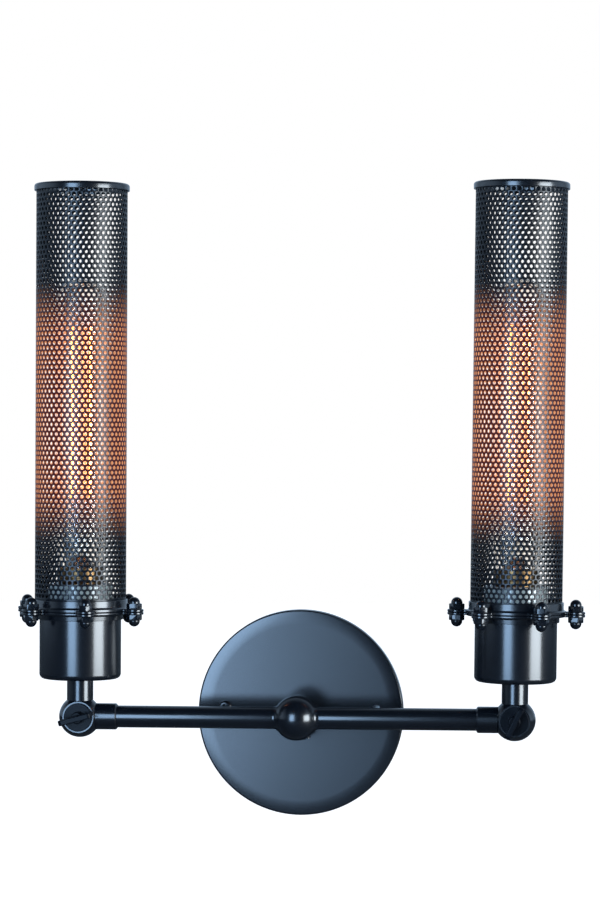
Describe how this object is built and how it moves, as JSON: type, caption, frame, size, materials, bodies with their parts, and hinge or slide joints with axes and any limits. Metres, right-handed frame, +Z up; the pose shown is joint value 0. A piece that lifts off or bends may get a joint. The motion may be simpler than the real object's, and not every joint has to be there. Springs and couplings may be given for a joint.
{
  "type": "wall sconce",
  "caption": "Wall light with open perforated cylinder cages over tubular filament bulbs, on swivelling socket cups at the ends of a straight arm from a round backplate.",
  "frame": {"origin": "centre of the backplate's round wall side, on the wall plane and level with the arms", "axes": "+X along the arms towards the right lamp as seen from the front, +Y into the wall, +Z up"},
  "size_m": [0.3295, 0.0807, 0.3689],
  "materials": {
    "black_enamel": "smooth satin-gloss black enamel",
    "zinc_steel": "zinc plated, dull bright",
    "green_paint": "green dipped",
    "brass": "plain drawn brass",
    "lampholder_ceramic": "pale glazed",
    "bulb_glass": "clear, faint amber",
    "stem_glass": "clear",
    "filament": "glowing strands",
    "support_wire": "drawn wire",
    "contact_insulator": "dark glazed, with a solder tip",
    "lead_insulation": "plain extruded",
    "fibre_washer": "pressed fibre"
  },
  "bodies": {
    "wall_frame": {"backplate": "black_enamel", "mounting_crossbar": "zinc_steel", "canopy_screws": "black_enamel", "ground_screw": "green_paint", "hub": "black_enamel", "hub_stem": "black_enamel", "hub_set_screw": "black_enamel", "threaded_nipple": "zinc_steel", "nipple_nut": "zinc_steel", "arm_leads": "lead_insulation", "left_arm": "black_enamel", "right_arm": "black_enamel", "left_swivel_base": "black_enamel", "right_swivel_base": "black_enamel", "left_swivel_washer": "fibre_washer", "right_swivel_washer": "fibre_washer"},
    "left_lamp": {"left_swivel_head": "black_enamel", "left_socket_cup": "black_enamel", "left_cup_flange": "black_enamel", "left_cup_nipple": "zinc_steel", "left_cup_nut": "zinc_steel", "left_lampholder": "lampholder_ceramic", "left_screw_shell": "brass", "left_centre_contact": "brass", "left_terminal_screws": "brass", "left_flange_studs": "zinc_steel", "left_upper_acorn_nuts": "black_enamel", "left_lower_acorn_nuts": "black_enamel", "left_cage_flange": "black_enamel", "left_cage": "black_enamel", "left_cage_rim": "black_enamel"},
    "left_bulb": {"left_bulb_glass": "bulb_glass", "left_bulb_cap": "brass", "left_bulb_contact": "contact_insulator", "left_bulb_stem": "stem_glass", "left_bulb_filament": "filament", "left_bulb_support_wires": "support_wire"},
    "left_thumb_screw": {"left_thumb_screw": "black_enamel"},
    "right_lamp": {"right_swivel_head": "black_enamel", "right_socket_cup": "black_enamel", "right_cup_flange": "black_enamel", "right_cup_nipple": "zinc_steel", "right_cup_nut": "zinc_steel", "right_lampholder": "lampholder_ceramic", "right_screw_shell": "brass", "right_centre_contact": "brass", "right_terminal_screws": "brass", "right_flange_studs": "zinc_steel", "right_upper_acorn_nuts": "black_enamel", "right_lower_acorn_nuts": "black_enamel", "right_cage_flange": "black_enamel", "right_cage": "black_enamel", "right_cage_rim": "black_enamel"},
    "right_bulb": {"right_bulb_glass": "bulb_glass", "right_bulb_cap": "brass", "right_bulb_contact": "contact_insulator", "right_bulb_stem": "stem_glass", "right_bulb_filament": "filament", "right_bulb_support_wires": "support_wire"},
    "right_thumb_screw": {"right_thumb_screw": "black_enamel"}
  },
  "joints": [
    {"name": "left_tilt", "type": "hinge", "parent": "wall_frame", "child": "left_lamp", "pos_m": [-0.1257, -0.042, 0], "axis": [0, -1, 0], "range_deg": [-8, 180]},
    {"name": "left_thumb_turn", "type": "hinge", "parent": "wall_frame", "child": "left_thumb_screw", "pos_m": [-0.1257, -0.042, 0], "axis": [0, -1, 0], "range_deg": [0, 360]},
    {"name": "left_bulb_turn", "type": "hinge", "parent": "left_lamp", "child": "left_bulb", "pos_m": [-0.1257, -0.042, 0], "axis": [0.0026, 0, 1], "range_deg": [0, 1800]},
    {"name": "right_tilt", "type": "hinge", "parent": "wall_frame", "child": "right_lamp", "pos_m": [0.1257, -0.042, 0], "axis": [0, 1, 0], "range_deg": [-8, 180]},
    {"name": "right_thumb_turn", "type": "hinge", "parent": "wall_frame", "child": "right_thumb_screw", "pos_m": [0.1257, -0.042, 0], "axis": [0, -1, 0], "range_deg": [0, 360]},
    {"name": "right_bulb_turn", "type": "hinge", "parent": "right_lamp", "child": "right_bulb", "pos_m": [0.1257, -0.042, 0], "axis": [0.0113, 0, 0.9999], "range_deg": [0, 1800]}
  ]
}
